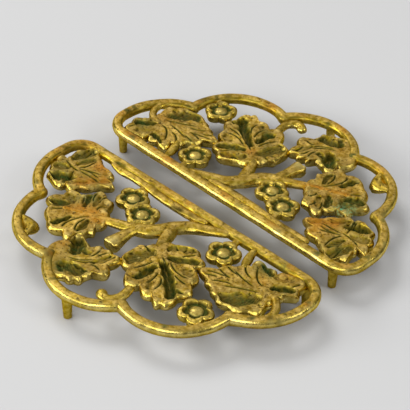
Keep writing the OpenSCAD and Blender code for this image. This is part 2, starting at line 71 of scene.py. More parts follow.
def brass(name, tan, dirt_and_shade, shine):
    """Cast brass: tan on its flats, brown tone and painted shade in its creases and shine on its edges,
    as shares.

    The marks on a mesh say where more of each lies: dirt with painted shade, verdigris, turquoise,
    rust, and polish with painted highlights.
    """
    m = bpy.data.materials.new(name)
    m.use_nodes = True
    t = m.node_tree
    n, link = t.nodes, t.links.new
    bsdf = n["Principled BSDF"]
    coord = n.new("ShaderNodeTexCoord").outputs["Object"]

    def spread(socket, low, high, to_low=0.0, to_high=1.0):
        r = n.new("ShaderNodeMapRange")
        r.interpolation_type = "SMOOTHSTEP"
        link(socket, r.inputs["Value"])
        r.inputs["From Min"].default_value, r.inputs["From Max"].default_value = low, high
        r.inputs["To Min"].default_value, r.inputs["To Max"].default_value = to_low, to_high
        return r.outputs["Result"]

    def cloud(scale, detail, low, high, offset=(0, 0, 0), rough=0.6):
        move = n.new("ShaderNodeMapping")
        move.inputs["Location"].default_value = offset
        link(coord, move.inputs["Vector"])
        tex = n.new("ShaderNodeTexNoise")
        tex.inputs["Scale"].default_value = scale
        tex.inputs["Detail"].default_value = detail
        tex.inputs["Roughness"].default_value = rough
        link(move.outputs["Vector"], tex.inputs["Vector"])
        return spread(tex.outputs["Fac"], low, high)

    def calc(op, a, b):
        c = n.new("ShaderNodeMath")
        c.operation = op
        c.use_clamp = True
        for socket, v in zip(c.inputs, (a, b)):
            if isinstance(v, (int, float)):
                socket.default_value = v
            else:
                link(v, socket)
        return c.outputs[0]

    def times(a, b):
        return calc("MULTIPLY", a, b)

    def plus(a, b):
        return calc("ADD", a, b)

    def less(a, b):
        return calc("SUBTRACT", a, b)

    def blend(fac, a, b):
        c = n.new("ShaderNodeMix")
        c.data_type = "RGBA"
        link(fac, c.inputs["Factor"])
        for socket, v in ((c.inputs["A"], a), (c.inputs["B"], b)):
            if isinstance(v, tuple):
                socket.default_value = (*v, 1)
            else:
                link(v, socket)
        return c.outputs["Result"]

    def mark(attribute):
        att = n.new("ShaderNodeAttribute")
        att.attribute_name = attribute
        return att.outputs["Fac"]

    geo = n.new("ShaderNodeNewGeometry")
    axes = n.new("ShaderNodeSeparateXYZ")
    link(geo.outputs["Normal"], axes.inputs[0])
    up = spread(axes.outputs["Z"], 0.70, 0.96)
    # Down-facing surfaces and creases are picked out so that shade can be painted on them
    down = spread(axes.outputs["Z"], -0.05, -0.7)
    sharp = spread(geo.outputs["Pointiness"], 0.515, 0.60)
    crease_shade = spread(geo.outputs["Pointiness"], 0.497, 0.455)

    patchy = cloud(75, 6, 0.36, 0.62)
    mottled = cloud(380, 5, 0.32, 0.70)
    grain = cloud(1500, 3, 0.3, 0.75)
    pits = cloud(900, 2, 0.585, 0.65, (3, 1, 2), 0.5)
    spots = cloud(400, 3, 0.635, 0.675, (1, 7, 4), 0.5)
    blots = cloud(48, 5, 0.55, 0.68, (5, 2, 9))

    # From bare metal outwards: tan flats, brown tone with painted shade in the creases, rust, soot
    #     # with painted shade, verdigris, pits, polish with painted highlights
    worn = times(plus(times(up, 0.85), times(patchy, 0.22)), tan)
    col = blend(worn, blend(mottled, *METAL), blend(mottled, *OLD))
    # The brown in the creases is painted shade; the patchy brown is the metal's own tone
    brown_and_shade = times(plus(times(patchy, 0.42), times(crease_shade, 1.0)), dirt_and_shade)
    col = blend(brown_and_shade, col, BROWN_AND_SHADE)
    rust = times(mark("rust"), plus(blots, 0.72))
    col = blend(rust, col, blend(grain, *RUST))
    # Soot is painted on surfaces that face down and in the marked hollows, as dirt and painted shade
    soot_and_shade = times(plus(mark("dirt_and_shade"), times(down, 0.25)), plus(times(mottled, 0.35), 0.70))
    col = blend(soot_and_shade, col, blend(grain, *SOOT_AND_SHADE))
    green = times(mark("verdigris"), plus(times(mottled, 0.8), 0.30))
    col = blend(green, col, blend(grain, *VERDIGRIS))
    blue = times(mark("turquoise"), cloud(620, 4, 0.48, 0.56, (2, 5, 1)))
    col = blend(blue, col, TURQUOISE)
    dots = times(plus(times(pits, 0.80), spots), plus(times(up, 0.80), 0.20))
    col = blend(times(dots, 0.8), col, PITS)
    # Polish on sharp edges is wear; the polish mark also carries painted highlights
    rubbed_and_highlight = plus(times(sharp, shine), mark("polish_and_highlight"))
    col = blend(times(rubbed_and_highlight, plus(times(mottled, 0.3), 0.65)), col, POLISH_AND_HIGHLIGHT)
    link(col, bsdf.inputs["Base Color"])

    # What lies on the metal, painted shade too, is dull and rough, and what is rubbed, painted
    #     # highlights too, is clean and smooth
    dull = plus(plus(times(soot_and_shade, 0.45), times(green, 0.65)), plus(times(dots, 0.5), times(worn, 0.66)))
    dull = less(plus(plus(dull, blue), times(rust, 0.5)), times(rubbed_and_highlight, 0.6))
    link(less(1.0, dull), bsdf.inputs["Metallic"])
    rough = plus(times(plus(dull, times(soot_and_shade, 0.6)), 0.34), spread(mottled, 0, 1, 0.25, 0.35))
    link(less(rough, times(rubbed_and_highlight, 0.08)), bsdf.inputs["Roughness"])
    bsdf.inputs["Specular IOR Level"].default_value = 0.10
    bsdf.inputs["Specular Tint"].default_value = SHEEN

    bump = n.new("ShaderNodeBump")
    bump.inputs["Strength"].default_value = 0.30
    bump.inputs["Distance"].default_value = 0.25 * MM
    skin = plus(plus(times(mottled, 0.45), times(grain, 0.20)), 0.3)
    link(less(skin, times(dots, 0.9)), bump.inputs["Height"])
    link(bump.outputs["Normal"], bsdf.inputs["Normal"])
    return m


plain = brass("brass_plain", 0.85, 0.75, 0.30)


def share(v, most=1):
    """A value held between nothing and the most it may be."""
    return max(0, min(most, v))


def polar(r, deg):
    return np.array([r * math.cos(math.radians(deg)), r * math.sin(math.radians(deg))])


def bearing(p, q):
    return math.degrees(math.atan2(q[1] - p[1], q[0] - p[0]))


def turned(p):
    """Where a point of the front half's pattern lies on the back half."""
    a = math.radians(180 + PAIR_TURN)
    return np.array([p[0] * math.cos(a) - p[1] * math.sin(a) + PAIR_SHIFT,
                     p[0] * math.sin(a) + p[1] * math.cos(a) + RAIL_D + PAIR_GAP])


def dip(k):
    """The inward point of the rail between lobe k and the next."""
    return np.array([0, ROSETTE_BACK]) + polar(ROSETTE_R, 180 + LOBE_ANGLE * k)


centres = {k: np.array([0, ROSETTE_BACK]) + polar(TIP_R - LOBE_R, 180 + LOBE_ANGLE * (k - 0.5))
           for k in range(1, 6)}
for k, move, at in ((1, LEFT_TRIM, 1), (5, -RIGHT_TRIM, 4)):
    x = centres[k][0] + move
    centres[k] = np.array([x, dip(at)[1] + math.sqrt(LOBE_R ** 2 - (x - dip(at)[0]) ** 2)])
left_edge, right_edge = centres[1][0] - LOBE_R, centres[5][0] + LOBE_R
left_corner = np.array([left_edge + LEFT_CORNER_R, -LEFT_CORNER_R])
right_corner = np.array([right_edge - RIGHT_CORNER_R, -RIGHT_CORNER_R])

# The middle of the pair, from the round stretches that reach furthest out
rounds = [(centres[1], LOBE_R), (centres[5], LOBE_R), (left_corner, LEFT_CORNER_R),
          (right_corner, RIGHT_CORNER_R), (centres[3], LOBE_R)]
MIDDLE = ((min(min(c[0], turned(c)[0]) - r - RAIL_R for c, r in rounds)
           + max(max(c[0], turned(c)[0]) + r + RAIL_R for c, r in rounds)) / 2,
          (min(c[1] - r - RAIL_R for c, r in rounds)
           + max(turned(c)[1] + r + RAIL_R for c, r in rounds)) / 2)


def piece(name, points, faces, half, material, nodes, marks=None):
    """A mesh drawn on the front half, in millimetres, set in place on one of the halves."""
    p = np.array(points, float)
    shift = np.array([-MIDDLE[0], -MIDDLE[1], HEIGHT])
    if half == "back":
        p[:, :2] = turned(p[:, :2].T).T
    mesh = bpy.data.meshes.new(name)
    mesh.from_pydata(((p + shift) * MM).tolist(), [], faces)
    mesh.update()
    mesh.shade_smooth()
    for mark, values in (marks or {}).items():
        layer = mesh.attributes.new(mark, "FLOAT", "POINT")
        layer.data.foreach_set("value", np.array(values, float))
    mesh.materials.append(material)
    obj = bpy.data.objects.new(name, mesh)
    bpy.context.scene.collection.objects.link(obj)
    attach(obj, half + "_half")
    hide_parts(*[half + "_" + x for x in nodes])


def skin_of(rings, m):
    """The faces between rings of m points each, numbered ring by ring."""
    return [(r * m + i, (r + 1) * m + i, (r + 1) * m + (i + 1) % m, r * m + (i + 1) % m)
            for r in range(rings - 1) for i in range(m)]


# The highest a rod may stand, just under the worn top of the rail
ROD_TOP = -0.05
# How far the rings of an end stand out and how wide they are, in shares of the rod's radius
ROUND_END = [(math.sin(a), math.cos(a)) for a in np.radians([18, 34, 50, 64, 76, 84])]
SAWN_END = [(0.06, 0.98), (0.12, 0.93), (0.17, 0.84), (0.20, 0.60), (0.21, 0.30)]


def tube(line, radii, tops, sides, squash=1.0, seed=0.0, rough=0.06, bark=0.0, caps=None,
         widest=1.03, sawn=False):
    """A closed rod along a plan line. tops is the height of its upper side, caps its worn top."""
    line, radii, tops = np.array(line, float), np.array(radii, float), np.array(tops, float)
    step = np.gradient(line, axis=0)
    step /= np.linalg.norm(step, axis=1)[:, None]
    run = np.r_[0, np.cumsum(np.linalg.norm(np.diff(line, axis=0), axis=1))]
    caps = np.full(len(line), ROD_TOP) if caps is None else caps
    last = len(line) - 1
    start, end = ROUND_END, SAWN_END if sawn else ROUND_END
    rings = [(0, -1, out, width) for out, width in start[::-1]]
    rings += [(i, 0, 0, 1.0) for i in range(last + 1)]
    rings += [(last, 1, out, width) for out, width in end]
    points = []
    for i, way, out, width in rings:
        at = line[i] + way * step[i] * radii[i] * out
        for j in range(sides):
            a = 2 * math.pi * j / sides
            across, high = math.sin(a), math.cos(a)
            wave = 1 + rough * noise.noise(Vector((at[0] / 9 + high, at[1] / 9 + across, seed)))
            if bark:
                wave += bark * noise.noise(Vector((5 * high, 5 * across, run[i] / 14 + seed)))
            r = radii[i] * width * min(wave, widest)
            if sawn:
                boxy = (high ** 4 + across ** 4) ** -0.25
                r *= 1 + (0.95 * boxy - 1) * min(1, run[i] / run[-1]) ** 2
            points.append((at[0] - r * across * step[i][1], at[1] + r * across * step[i][0],
                           min(tops[i] + (r * high - radii[i]) * squash, caps[i])))
    faces = skin_of(len(rings), sides)
    closed = [(0, -1, 0, 1.0), (last, 1, len(rings) - 1, SAWN_END[-1][0] if sawn else 1.0)]
    for i, way, ring, out in closed:
        centre = len(points)
        points.append((*(line[i] + way * step[i] * radii[i] * out), tops[i] - radii[i] * squash))
        for j in range(sides):
            a, b = ring * sides + j, ring * sides + (j + 1) % sides
            faces.append((centre, a, b) if way < 0 else (centre, b, a))
    return points, faces


def arc(centre, radius, start, end, gap=0.9):
    span = (end - start + 360) % 360
    count = max(6, int(math.radians(span) * radius / gap))
    return [centre + polar(radius, start + span * i / count) for i in range(count + 1)]


def straight(p, q, gap=1.1):
    count = max(2, int(np.linalg.norm(q - p) / gap))
    return [p + (q - p) * i / count for i in range(count + 1)]


def stain(marks, points, stains):
    """Adds round stains to a mesh's marks: each is a kind, its place, its radius and strength."""
    plan = np.array(points)[:, :2]
    for kind, x, y, r, strength in stains:
        near = strength * np.exp(-(np.linalg.norm(plan - (x, y), axis=1) / r) ** 2)
        marks[kind] = np.maximum(marks.get(kind, 0), near)


rail_stains = {
    "front": [
        ("verdigris", -82.6, -26.8, 5.0, 0.90), ("verdigris", -78.8, -34.0, 4.0, 0.80),
        ("dirt_and_shade", -88.9, -10.5, 5.0, 0.80), ("rust", -98.9, -18.0, 7.0, 0.60),
        ("rust", -91.5, 1.4, 9.0, 0.50), ("rust", -70.1, -46.8, 6.0, 0.50),
        ("dirt_and_shade", -27.3, -85.1, 5.0, 0.80), ("verdigris", -20.8, -88.0, 4.0, 0.60),
        ("dirt_and_shade", -54.5, -77.6, 3.0, 0.80), ("dirt_and_shade", 90.6, -37.9, 2.2, 0.90),
        ("dirt_and_shade", 94.8, -35.7, 1.6, 0.90), ("verdigris", 67.9, -2.6, 4.0, 0.80),
        ("dirt_and_shade", 84.1, -5.7, 3.0, 0.70), ("verdigris", 29.7, -78.5, 4.0, 0.50),
        ("rust", -22.0, 2.9, 6.0, 0.50), ("rust", 90.3, -48.8, 6.0, 0.35),
        ("dirt_and_shade", -40.4, -86.6, 2.0, 0.70)],
    "back": [
        ("dirt_and_shade", 74.3, -59.2, 5.0, 0.85), ("rust", 100.4, -11.2, 8.0, 0.70),
        ("rust", 76.5, -2.8, 7.0, 0.70), ("rust", 42.4, 0.5, 6.0, 0.80),
        ("rust", 40.0, -85.2, 5.0, 0.70), ("dirt_and_shade", 65.4, -72.2, 2.5, 0.80),
        ("dirt_and_shade", -18.3, -78.7, 4.0, 0.80), ("dirt_and_shade", -59.4, -68.6, 2.4, 0.80),
        ("dirt_and_shade", -76.7, -53.4, 2.4, 0.80), ("rust", -49.3, -85.9, 8.0, 0.50),
        ("dirt_and_shade", -86.1, -23.6, 5.0, 0.70), ("verdigris", -44.9, -67.0, 3.0, 0.70),
        ("verdigris", -16.7, 2.1, 3.0, 0.70), ("rust", 104.7, -42.6, 8.0, 0.50)],
}
# The rail stays just inside the solid one. Its stretches sink by unlike amounts at a dip, so
# that the worn tops of two neighbours never lie in one plane.
RAIL_SIDES, RAIL_SHARE, RAIL_TOP = 36, 0.985, -0.02
DIP_REACH, DIP_SINKS = 4.0, (0.05, 0.10)


def rail(name, half, line, swell, seed):
    """A stretch of rail, swollen at the ends that meet a dip, with grime on its inner side, painted
    shade by the dips and a painted highlight along its outer side.
    """
    line = np.array(line)
    run = np.r_[0, np.cumsum(np.linalg.norm(np.diff(line, axis=0), axis=1))]
    radii = np.full(len(line), RAIL_R * RAIL_SHARE)
    caps = np.full(len(line), RAIL_TOP)
    for from_end, amount, sink in zip((run, run[-1] - run), swell, DIP_SINKS):
        at_dip = np.exp(-(from_end / DIP_REACH) ** 2)
        radii *= 1 + amount * at_dip
        if name != "bar":
            caps -= sink * at_dip
    points, faces = tube(line, radii, np.full(len(line), RAIL_FLAT), RAIL_SIDES, seed=seed,
                         rough=0.05, caps=caps, widest=1.02)
    marks = {"dirt_and_shade": [], "verdigris": [], "polish_and_highlight": [], "rust": []}
    for i, (x, y, z) in enumerate(points):
        inward = math.sin(2 * math.pi * (i % RAIL_SIDES) / RAIL_SIDES) * (-1 if name == "bar" else 1)
        spot = noise.noise(Vector((x / 6, y / 6, 3 + seed)))
        fine = noise.noise(Vector((x / 1.5, y / 1.5, 9 + seed)))
        broad = noise.noise(Vector((x / 11, y / 11, 20 + seed)))
        near_dip = min(math.hypot(x - dip(k)[0], y - dip(k)[1]) for k in range(1, 5))
        top = share((z + 0.9) / 0.6)
        seam = math.exp(-((z + 0.8) / 0.5) ** 2) * max(0, inward) * max(0, 1.1 + 1.8 * spot)
        grime_and_shade = 2.0 * (spot - 0.30) * top + 1.6 * max(0, fine - 0.34) * top + 0.8 * seam
        # The band along the outer side is a painted highlight, and the darkening near the dips is
        # painted shade
        painted_highlight_band = math.exp(-((z + 1.8) / 1.6) ** 2) * max(0, -inward)
        marks["dirt_and_shade"].append(share(grime_and_shade + 0.18 * math.exp(-(near_dip / 4.5) ** 2), 0.85))
        marks["verdigris"].append(share((spot - 0.36) * 3 * max(top, inward), 0.7))
        marks["polish_and_highlight"].append(0.66 * painted_highlight_band * (0.9 + spot))
        marks["rust"].append(share(2.2 * (broad - 0.28) * top, 0.7))
    stain(marks, points, rail_stains[half])
    piece("%s_%s_rail" % (half, name), points, faces, half, plain, [name], marks)


rail_lines = {"bar": (
    straight(np.array([left_edge, centres[1][1]]), np.array([left_edge, -LEFT_CORNER_R]))[:-1]
    + arc(left_corner, LEFT_CORNER_R, 90, 180)[::-1][:-1]
    + straight(np.array([left_corner[0], 0.0]), np.array([right_corner[0], 0.0]))[:-1]
    + arc(right_corner, RIGHT_CORNER_R, 0, 90)[::-1][:-1]
    + straight(np.array([right_edge, -RIGHT_CORNER_R]), np.array([right_edge, centres[5][1]])))}
for k in range(1, 6):
    start = 180 if k == 1 else bearing(centres[k], dip(k - 1))
    end = 0 if k == 5 else bearing(centres[k], dip(k))
    rail_lines["lobe_%d" % k] = arc(centres[k], LOBE_R, start, end)
swells = {"bar": (0, 0), "lobe_1": (0, 0.06), "lobe_5": (0.16, 0)}
for half in ("front", "back"):
    for i, (name, line) in enumerate(rail_lines.items()):
        seed = i * 1.3 + (0.5 if half == "back" else 0)
        rail(name, half, line, swells.get(name, (0.14, 0.05)), seed)

# Leaves

# Vine leaves, cast with the rail and hollow from below, then chased on top: spoon-like hollows,
# engraved curved veins, a thick rim with ball-like tips and a deep wall. Places are on the half,
# and a lobe is its bearing and reach from the foot of the veins, and the notch behind it.
LEAF_DROP, LEAF_WALL, LEAF_ROLL, LEAF_UNDER = 0.8, 4.2, 1.3, 1.2
VEIN_HALF, VEIN_DEEP, BALL_RISE = 0.40, 0.85, 0.35
# The highest a chased surface may stand, and the points drawn round a leaf from lobe to lobe
CHASED_TOP, LOBE_STEPS = -0.12, 26
# Rings of the wall below the rim: drop, growth, bulge at the tips, and darkening, painted shade
# # that grows towards the foot
WALL_RINGS = [(0.45, 0.28, 0.15, 0), (1.0, 0.42, 0.35, 0), (1.8, 0.45, 0.45, 0.02),
              (2.6, 0.35, 0.35, 0.10), (3.4, 0.05, 0.10, 0.3), (LEAF_WALL - 0.1, -0.5, -0.1, 0.5)]
tarnished = brass("brass_tarnished", 1.0, 1.0, 0.30)
leaf_shapes = {}
leaf_shapes[1] = dict(
    foot=(-0.801, -0.221),
    lobes=[
        (166, 0.101, 0.31), (244, 0.107, 0.23), (265, 0.151, 0.03), (303, 0.202, 0.14),
        (320, 0.227, 0.07), (349, 0.258, 0.07), (367, 0.335, 0.20), (380, 0.282, 0.13),
        (413, 0.190, 0.06), (448, 0.217, 0.15), (473, 0.151, 0.11), (489, 0.078, 0.44)],
    spoons=[
        ([(-82.5, -16.1), (-81.5, -10.7), (-79.7, -5.3)], 4.2, 1.5, 0.60),
        ([(-76.5, -19.1), (-75.2, -14.9), (-74.2, -10.3)], 2.4, 1.1, 0.50),
        ([(-79.3, -36.6), (-76.1, -34.0), (-71.8, -30.9)], 4.6, 3.0, 1.00),
        ([(-84.2, -28.5), (-82.2, -26.4), (-79.5, -25.0)], 4.0, 1.4, 0.40),
        ([(-67.5, -34.0), (-64.7, -30.4), (-61.5, -27.1)], 1.8, 1.0, 0.25),
        ([(-58.3, -23.8), (-52.8, -18.1)], 2.0, 0.7, 0.20)],
    veins=[
        [(-74.0, -22.1), (-71.4, -15.9), (-72.5, -7.9)],
        [(-72.9, -22.3), (-67.0, -19.1), (-60.1, -16.8)],
        [(-72.2, -23.0), (-63.5, -22.3), (-56.4, -21.8)],
        [(-73.8, -24.6), (-71.9, -32.4), (-70.4, -39.0)],
        [(-85.4, -21.3), (-77.9, -23.3), (-71.4, -23.6)],
        [(-80.0, -12.8), (-80.6, -8.4), (-81.2, -4.7)],
        [(-70.2, -20.9), (-64.8, -19.5), (-58.5, -19.9)],
        [(-69.6, -38.2), (-70.5, -33.7), (-71.7, -28.8)]],
    balls=[
        (-85.0, -33.5, 2.3), (-77.6, -40.3, 2.0), (-89.1, -21.5, 2.3), (-55.1, -13.6, 1.8),
        (-48.1, -20.1, 2.4), (-64.3, -36.8, 2.2), (-56.4, -27.9, 2.2), (-79.1, -1.8, 2.0),
        (-86.1, -9.8, 2.2), (-70.7, -38.7, 2.0)],
    stains={
        "front": [
            ("rust", -65.8, -10.8, 6.0, 1.00), ("rust", -63.5, -29.9, 4.0, 0.90),
            ("rust", -59.2, -26.1, 5.0, 0.90), ("rust", -55.5, -19.5, 4.0, 0.70),
            ("verdigris", -78.8, -11.6, 6.0, 0.70), ("verdigris", -76.8, -33.4, 6.0, 0.80),
            ("verdigris", -84.1, -25.5, 4.0, 0.50), ("verdigris", -52.3, -27.1, 6.0, 0.60),
            ("verdigris", -65.7, -21.8, 5.0, 0.45)],
        "back": [
            ("rust", -55.7, -21.5, 8.0, 1.00), ("rust", -63.0, -26.7, 5.0, 1.00),
            ("rust", -59.0, -14.7, 5.0, 0.60), ("verdigris", -67.9, -29.5, 4.0, 0.50),
            ("verdigris", -76.7, -12.1, 6.0, 0.60), ("verdigris", -76.9, -30.1, 5.0, 0.40)],
    })
leaf_shapes[2] = dict(
    foot=(-0.338, -0.420),
    lobes=[
        (72, 0.064, 0.24), (103, 0.145, 0.12), (133, 0.215, 0.12), (158, 0.200, 0.14),
        (171, 0.278, 0.12), (196, 0.328, 0.12), (215, 0.292, 0.04), (246, 0.280, 0.16),
        (277, 0.252, 0.11), (288, 0.189, 0.10), (308, 0.151, 0.20), (315, 0.098, 0.26)],
    spoons=[
        ([(-46.4, -65.4), (-44.9, -61.3), (-43.4, -55.3)], 2.3, 1.7, 0.90),
        ([(-61.6, -52.7), (-57.4, -50.4), (-53.7, -48.4)], 3.4, 1.9, 0.75),
        ([(-56.9, -42.6), (-52.4, -45.8)], 3.0, 1.0, 0.40),
        ([(-45.3, -42.4), (-49.5, -34.9)], 2.4, 1.4, 0.70),
        ([(-32.1, -59.4), (-32.4, -54.8), (-34.1, -50.2)], 2.0, 1.3, 0.60),
        ([(-41.4, -38.4), (-44.2, -32.1)], 2.0, 0.9, 0.30),
        ([(-37.9, -34.8), (-38.4, -31.3)], 2.4, 0.4, 0.10)],
    veins=[
        [(-39.8, -64.3), (-41.0, -57.4), (-35.6, -46.0)],
        [(-57.1, -57.2), (-52.7, -53.7), (-50.4, -47.6)],
        [(-32.2, -61.5), (-36.0, -56.6), (-35.8, -49.4)],
        [(-44.7, -36.6), (-47.9, -32.6), (-48.6, -27.3)],
        [(-41.2, -34.9), (-42.8, -31.9), (-41.4, -27.8)],
        [(-47.2, -43.0), (-49.8, -39.2), (-52.1, -36.3)],
        [(-46.9, -65.3), (-45.3, -62.4), (-44.9, -56.9)],
        [(-37.3, -40.7), (-38.1, -37.6), (-35.4, -34.8)]],
    balls=[
        (-45.4, -68.1, 2.4), (-58.1, -58.9, 2.0), (-25.1, -54.7, 2.6), (-38.1, -30.4, 3.0),
        (-34.3, -38.2, 2.0), (-27.8, -50.0, 1.6), (-47.9, -27.9, 2.6), (-65.2, -51.8, 2.0),
        (-32.3, -67.2, 2.2), (-60.0, -39.1, 2.2), (-52.5, -36.7, 1.8), (-29.0, -60.7, 2.2)],
    stains={
        "front": [
            ("rust", -43.8, -46.0, 6.0, 0.90), ("rust", -37.2, -44.5, 5.0, 1.00),
            ("rust", -31.2, -44.7, 5.0, 0.90), ("rust", -49.0, -48.8, 6.0, 0.50),
            ("verdigris", -48.8, -35.5, 6.0, 0.70), ("verdigris", -52.4, -40.6, 5.0, 0.60),
            ("verdigris", -57.8, -50.1, 5.0, 0.50), ("verdigris", -54.9, -44.4, 4.0, 0.40)],
        "back": [
            ("verdigris", -57.3, -45.8, 7.0, 1.00), ("turquoise", -57.3, -39.1, 3.5, 1.00),
            ("turquoise", -63.3, -41.5, 3.5, 1.00), ("rust", -46.5, -50.5, 6.0, 0.50),
            ("rust", -42.2, -32.2, 3.0, 0.35)],
    })
leaf_shapes[3] = dict(
    foot=(-0.205, -0.776),
    lobes=[
        (-49, 0.160, 0.05), (-34, 0.193, 0.06), (-20, 0.212, 0.03), (-7, 0.200, 0.15),
        (12, 0.273, 0.16), (42, 0.298, 0.13), (53, 0.253, 0.16), (66, 0.213, 0.17),
        (74, 0.155, 0.06), (115, 0.195, 0.24), (139, 0.135, 0.50)],
    spoons=[
        ([(-24.9, -65.1), (-21.5, -69.6), (-18.8, -73.4)], 4.6, 3.4, 1.00),
        ([(-15.5, -83.7), (-10.3, -83.1), (-4.6, -82.5)], 4.4, 2.2, 0.70),
        ([(-5.2, -72.0), (-3.8, -67.5), (-2.7, -62.8)], 2.0, 0.9, 0.40),
        ([(-17.4, -68.9), (-13.0, -69.2)], 2.4, 1.4, 0.60),
        ([(-16.8, -86.2), (-11.9, -89.4)], 1.8, 1.2, 0.90)],
    veins=[
        [(-19.0, -79.0), (-12.0, -75.9), (-7.1, -70.3)],
        [(-16.7, -79.6), (-10.0, -76.3), (-5.1, -70.6)],
        [(-5.5, -74.6), (-2.7, -73.5), (1.6, -74.3)],
        [(-14.4, -80.8), (-7.7, -79.8), (-0.7, -79.6)],
        [(-11.0, -61.7), (-9.7, -65.8), (-10.4, -70.2)],
        [(-5.1, -60.5), (-6.7, -63.4), (-7.5, -67.7)],
        [(0.3, -59.7), (-1.4, -63.9), (-1.3, -69.1)]],
    balls=[
        (-12.5, -61.4, 2.6), (-5.7, -59.6, 2.0), (1.0, -60.0, 1.8), (5.6, -74.3, 3.0),
        (-1.1, -86.3, 2.1), (-4.7, -89.5, 2.1), (-10.2, -90.5, 2.1), (-17.2, -64.4, 1.9),
        (-28.1, -62.2, 2.4), (-0.9, -80.9, 1.8)],
    stains={
        "front": [
            ("rust", -28.3, -72.9, 4.0, 0.60), ("verdigris", -21.3, -70.5, 7.0, 0.80),
            ("verdigris", -15.6, -86.2, 6.0, 0.90), ("verdigris", -9.9, -82.7, 5.0, 0.50)],
        "back": [
            ("verdigris", -21.6, -68.9, 6.0, 0.90), ("rust", -19.2, -79.6, 4.0, 0.30)],
    })
leaf_shapes[4] = dict(
    foot=(0.120, -0.406),
    lobes=[
        (172, 0.081, 0.18), (201, 0.128, 0.04), (243, 0.204, 0.25), (285, 0.301, 0.15),
        (306, 0.345, 0.09), (314, 0.409, 0.03), (321, 0.415, 0.06), (342, 0.371, 0.09),
        (357, 0.301, 0.21), (386, 0.259, 0.09), (406, 0.222, 0.06), (444, 0.114, 0.50)],
    spoons=[
        ([(5.6, -57.3), (7.9, -50.7), (10.7, -43.6)], 5.0, 1.7, 0.55),
        ([(19.1, -62.7), (19.7, -57.5), (19.4, -51.3)], 3.2, 2.3, 0.85),
        ([(21.0, -46.2), (32.3, -53.2), (42.1, -61.3)], 3.6, 3.3, 1.00),
        ([(20.3, -40.3), (26.3, -37.2), (32.4, -32.7)], 3.0, 2.0, 0.70),
        ([(15.3, -35.3), (17.7, -31.6), (24.7, -28.0)], 3.0, 1.4, 0.45),
        ([(41.3, -56.5), (44.7, -56.3)], 1.6, 1.2, 0.60),
        ([(32.6, -41.2), (37.3, -42.2)], 2.6, 0.8, 0.25),
        ([(29.4, -65.3), (27.8, -62.4)], 1.8, 0.7, 0.30)],
    veins=[
        [(16.2, -47.5), (15.1, -54.6), (11.8, -60.9)],
        [(19.0, -49.4), (20.6, -54.7), (20.7, -59.9)],
        [(24.0, -52.5), (26.2, -58.3), (25.7, -64.0)],
        [(27.8, -54.3), (32.0, -59.2), (32.1, -64.7)],
        [(15.9, -41.9), (23.3, -46.2), (28.1, -49.4)],
        [(22.4, -42.3), (31.4, -46.0), (39.1, -45.1)],
        [(31.4, -48.3), (37.1, -49.4), (41.5, -49.4)],
        [(39.8, -55.8), (43.3, -55.6), (47.7, -55.6)],
        [(2.9, -42.5), (6.6, -43.4), (8.3, -42.5)],
        [(14.8, -30.3), (20.0, -31.6), (20.5, -26.8)],
        [(29.0, -28.4), (26.2, -31.8), (24.5, -35.4)],
        [(33.9, -31.1), (31.5, -34.1), (27.8, -35.6)]],
    balls=[
        (20.3, -70.1, 2.6), (31.1, -68.1, 1.9), (40.3, -69.8, 2.6), (41.9, -44.5, 2.4),
        (29.4, -26.2, 1.9), (35.8, -30.9, 1.9), (4.9, -60.3, 2.4), (46.6, -53.3, 2.2),
        (5.6, -41.0, 1.6), (45.6, -66.6, 2.4)],
    stains={
        "front": [
            ("verdigris", 35.1, -54.9, 5.0, 0.50), ("verdigris", 40.3, -56.3, 3.0, 0.50),
            ("verdigris", 18.8, -56.6, 3.0, 0.40)],
        "back": [
            ("verdigris", 35.9, -56.3, 5.0, 0.70), ("verdigris", 24.0, -35.7, 6.0, 0.60),
            ("verdigris", 22.5, -61.5, 4.0, 0.80), ("rust", 16.2, -41.2, 4.0, 0.60),
            ("verdigris", 11.1, -51.3, 5.0, 0.50), ("rust", 22.8, -29.5, 4.0, 0.50)],
    })
